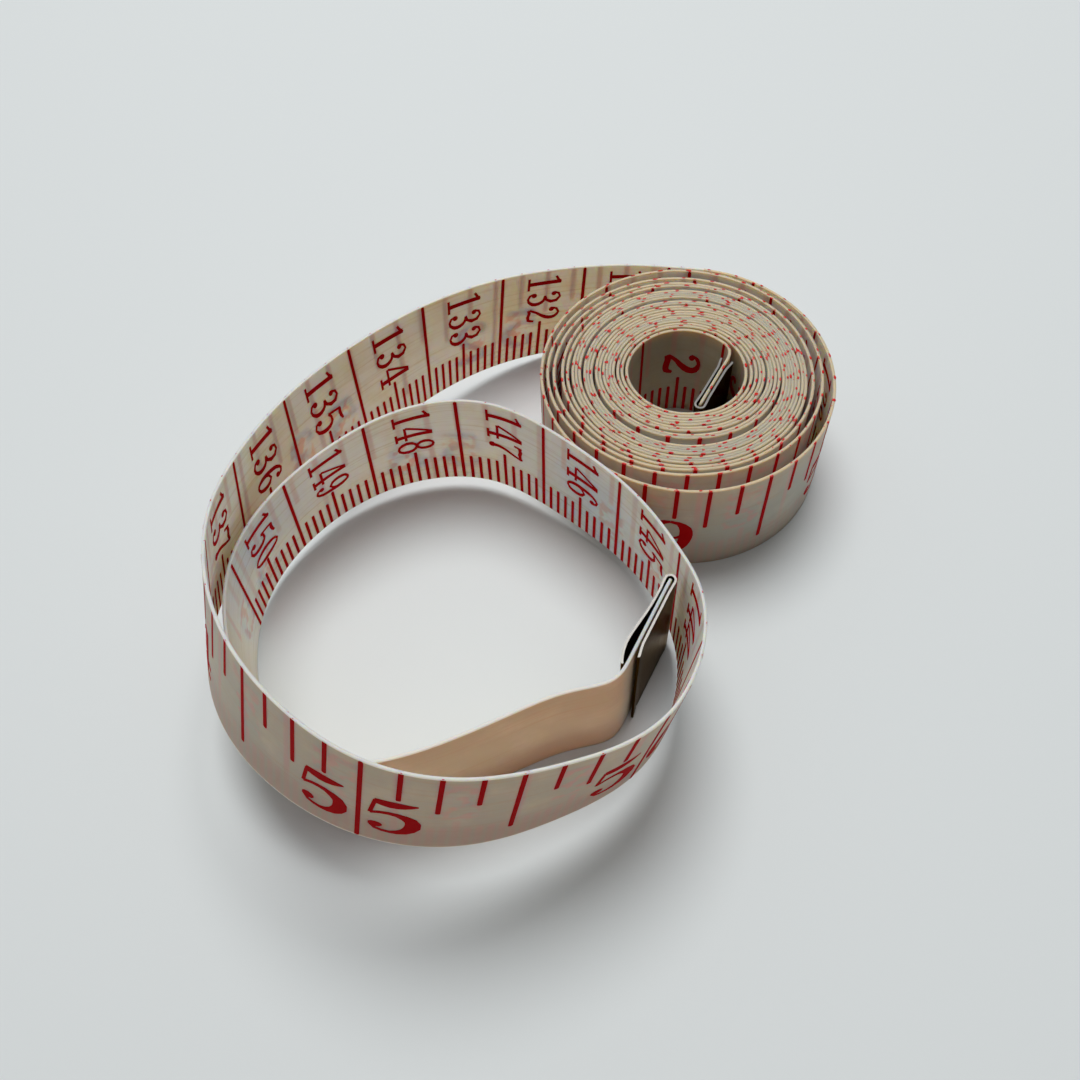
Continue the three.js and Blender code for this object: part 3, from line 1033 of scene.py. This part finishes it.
def makeBlots(values):
    chance = np.random.default_rng(values["seed"])
    shape = bmesh.new()
    eighth, centimetre = scaleValues["inch"] / 8, scaleValues["centimetre"]
    spots = [(eighth * k, 1, values["inchSize"]) for k in range(1, 8 * inchValues["count"] + 1)]
    spots += [
        (centimetre * k, -1, values["centimetreSize"]) for k in range(1, centimetreValues["count"] + 1)
    ]
    for _ in range(values["stray"]):
        spots.append((chance.uniform(*values["strayRun"]), chance.choice([-1, 1]), values["straySize"]))
    for along, side, size in spots:
        loose = 1 if along < tapeValues["rolled"] else values["loose"]
        grow = size * chance.uniform(*values["grow"], 3) * loose
        blot = bmesh.ops.create_icosphere(shape, subdivisions=1, radius=1)["verts"]
        for vert in blot:
            aside = side * values["aside"] * chance.uniform(*values["waver"])
            vert.co = Vector((
                along + vert.co.x * values["size"][0] * grow[0],
                tapeValues["width"] - values["sink"] + vert.co.y * values["size"][1] * grow[1],
                aside + vert.co.z * values["size"][2] * grow[2],
            ))
    mesh = bpy.data.meshes.new("blots")
    shape.to_mesh(mesh)
    shape.free()
    windMesh(mesh, flatOf(mesh))
    return newPiece("ink_blots", mesh, bleedMaterial)


prints.append(makeBlots(blotValues))
print("print and blots made")


# The clips: sheet folded round the tape's ends, made flat along its middle line and then folded
clipValues = {
    "sheet": 0.00022,
    "slack": 0.00014,
    "eye": 0.00036,
    "eyeSteps": 8,
    "eyeLength": 0.0009,
    "lip": 0.0013,
    "flare": 0.00022,
    "bowSteps": 14,
    "bowSkew": 2.2,
    "steps": 160,
    "acrossSteps": 3,
    "softening": (0.25, 0.5, 0.25),
    "softRounds": 2,
    "sharpAngle": 0.9,
    "edge": 0.00004,
    "edgeSteps": 2,
}


def clipLine(leaf, bow):
    values = clipValues
    middle = tapeValues["thickness"] / 2 + values["slack"] + values["sheet"] / 2
    eye = values["eye"] + values["sheet"] / 2
    turn = values["eye"] + values["sheet"]
    quarter = np.linspace(0, math.pi / 2, values["eyeSteps"])
    line = [(-turn + eye * math.cos(a), eye * math.sin(a)) for a in quarter]
    straightFrom = 2 * values["eyeLength"]
    line.append((-straightFrom, middle))
    if bow:
        for share in np.linspace(0, 1, values["bowSteps"])[1:]:
            rise = bow * math.sin(math.pi * share ** values["bowSkew"])
            line.append((-straightFrom - share * (leaf - straightFrom), middle + rise))
    else:
        line += [(values["lip"] - leaf, middle), (-leaf, middle + values["flare"])]
    return line


def makeClip(name, node, leaves, bow, fold, way):
    right = [(x, -y) for x, y in clipLine(leaves[0], 0)][::-1]
    left = clipLine(leaves[1], bow)
    line = np.array(right + left[1:])
    run = runAlong(line)
    at = np.linspace(0, run[-1], clipValues["steps"] + 1)
    line = np.stack([np.interp(at, run, line[:, k]) for k in range(2)], 1)
    soft = np.array(clipValues["softening"])
    for _ in range(clipValues["softRounds"]):
        line[1:-1] = np.stack([np.convolve(line[:, k], soft, "valid") for k in range(2)], 1)
    shape = bmesh.new()
    bmesh.ops.create_grid(shape, x_segments=len(line) - 1, y_segments=clipValues["acrossSteps"], size=0.5)
    sideWay = np.gradient(line, axis=0)
    sideWay = np.stack([-sideWay[:, 1], sideWay[:, 0]], 1) / np.linalg.norm(sideWay, axis=1)[:, None]
    top = bmesh.ops.extrude_face_region(shape, geom=shape.faces[:])["geom"]
    raised = {v for v in top if isinstance(v, bmesh.types.BMVert)}
    wayX = headingWay(way)
    wayY = headingWay(way + 90)
    for vert in shape.verts:
        station = int(round((vert.co.x + 0.5) * (len(line) - 1)))
        half = clipValues["sheet"] / 2 * (1 if vert in raised else -1)
        x, y = line[station] + sideWay[station] * half
        z = (vert.co.y + 0.5) * tapeValues["width"]
        vert.co = Vector(fold + wayX * x + wayY * y + np.array([0, 0, z]))
    sharp = [e for e in shape.edges if e.calc_face_angle(0) > clipValues["sharpAngle"]]
    reach, steps = clipValues["edge"], clipValues["edgeSteps"]
    bmesh.ops.bevel(shape, geom=sharp, offset=reach, segments=steps, profile=0.5, affect="EDGES")
    bmesh.ops.recalc_face_normals(shape, faces=shape.faces[:])
    mesh = bpy.data.meshes.new(name)
    shape.to_mesh(mesh)
    shape.free()
    piece = newPiece(name, mesh, nickelMaterial, smooth=False)
    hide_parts(node)
    return piece


axis = np.array([*rollValues["axis"], 0])
chordWay, chordSide = headingWay(chordValues["heading"]), headingWay(chordValues["heading"] - 90)
innerFold = axis + chordSide * chordValues["offset"] - chordWay * chordValues["reach"]
outerFold = loosePlaces(rollValues, outerEndValues)[-1][:3] + axis
innerLeaves = (chordValues["length"], chordValues["length"])
outerLeaves = (outerEndValues["shortLeaf"], outerEndValues["leaf"])
innerHeading, outerHeading = chordValues["heading"] + 180, outerEndValues["heading"]
clips = [
    makeClip("inner_clip", "inner_end_clip", innerLeaves, 0, innerFold, innerHeading),
    makeClip("outer_clip", "outer_end_clip", outerLeaves, outerEndValues["bow"], outerFold, outerHeading),
]
print("clips folded")


# Floor, lamp, and a world that is brighter above the back and shows as a pale backdrop to the camera
stageValues = {
    "floor": (0.735, 0.775, 0.78, 1),
    "floorReach": 1.5,
    "floorRoughness": 0.6,
    "worldWay": (-0.2, 0.5, 0.84),
    "worldReach": (0.0, 0.9),
    "worldStrength": (0.06, 0.42),
    "backdrop": 0.8,
    "key": 4.35,
    "keyPlace": (0.0, 0.29, 0.745),
    "keySize": 0.5,
}


def makeStage(values):
    shape = bmesh.new()
    bmesh.ops.create_grid(shape, x_segments=1, y_segments=1, size=values["floorReach"])
    mesh = bpy.data.meshes.new("floor")
    shape.to_mesh(mesh)
    shape.free()
    floor = bpy.data.objects.new("floor", mesh)
    bpy.context.scene.collection.objects.link(floor)
    material, tree, shader = newMaterial("table")
    shader.inputs["Base Color"].default_value = values["floor"]
    shader.inputs["Roughness"].default_value = values["floorRoughness"]
    mesh.materials.append(material)
    world = bpy.data.worlds.new("world")
    world.use_nodes = True
    bpy.context.scene.world = world
    sky = world.node_tree
    way = addNode(sky, "ShaderNodeTexCoord").outputs["Generated"]
    turned = addNode(
        sky, "ShaderNodeVectorMath", {"operation": "DOT_PRODUCT"}, {0: way, 1: values["worldWay"]}
    )
    strength = mapped(sky, turned.outputs["Value"], values["worldReach"], values["worldStrength"])
    seen = addNode(sky, "ShaderNodeLightPath").outputs["Is Camera Ray"]
    shown = addNode(
        sky, "ShaderNodeMix", {"data_type": "FLOAT"}, {0: seen, 2: strength, 3: values["backdrop"]}
    )
    sky.nodes["Background"].inputs["Color"].default_value = (1, 1, 1, 1)
    sky.links.new(shown.outputs[0], sky.nodes["Background"].inputs["Strength"])
    data = bpy.data.lights.new("window", "AREA")
    data.shape = "DISK"
    data.size = values["keySize"]
    data.energy = values["key"]
    lamp = bpy.data.objects.new("window", data)
    lamp.location = values["keyPlace"]
    lamp.rotation_euler = (-Vector(values["keyPlace"])).to_track_quat("-Z", "Y").to_euler()
    bpy.context.scene.collection.objects.link(lamp)


makeStage(stageValues)
bpy.context.scene.view_settings.view_transform = "Standard"
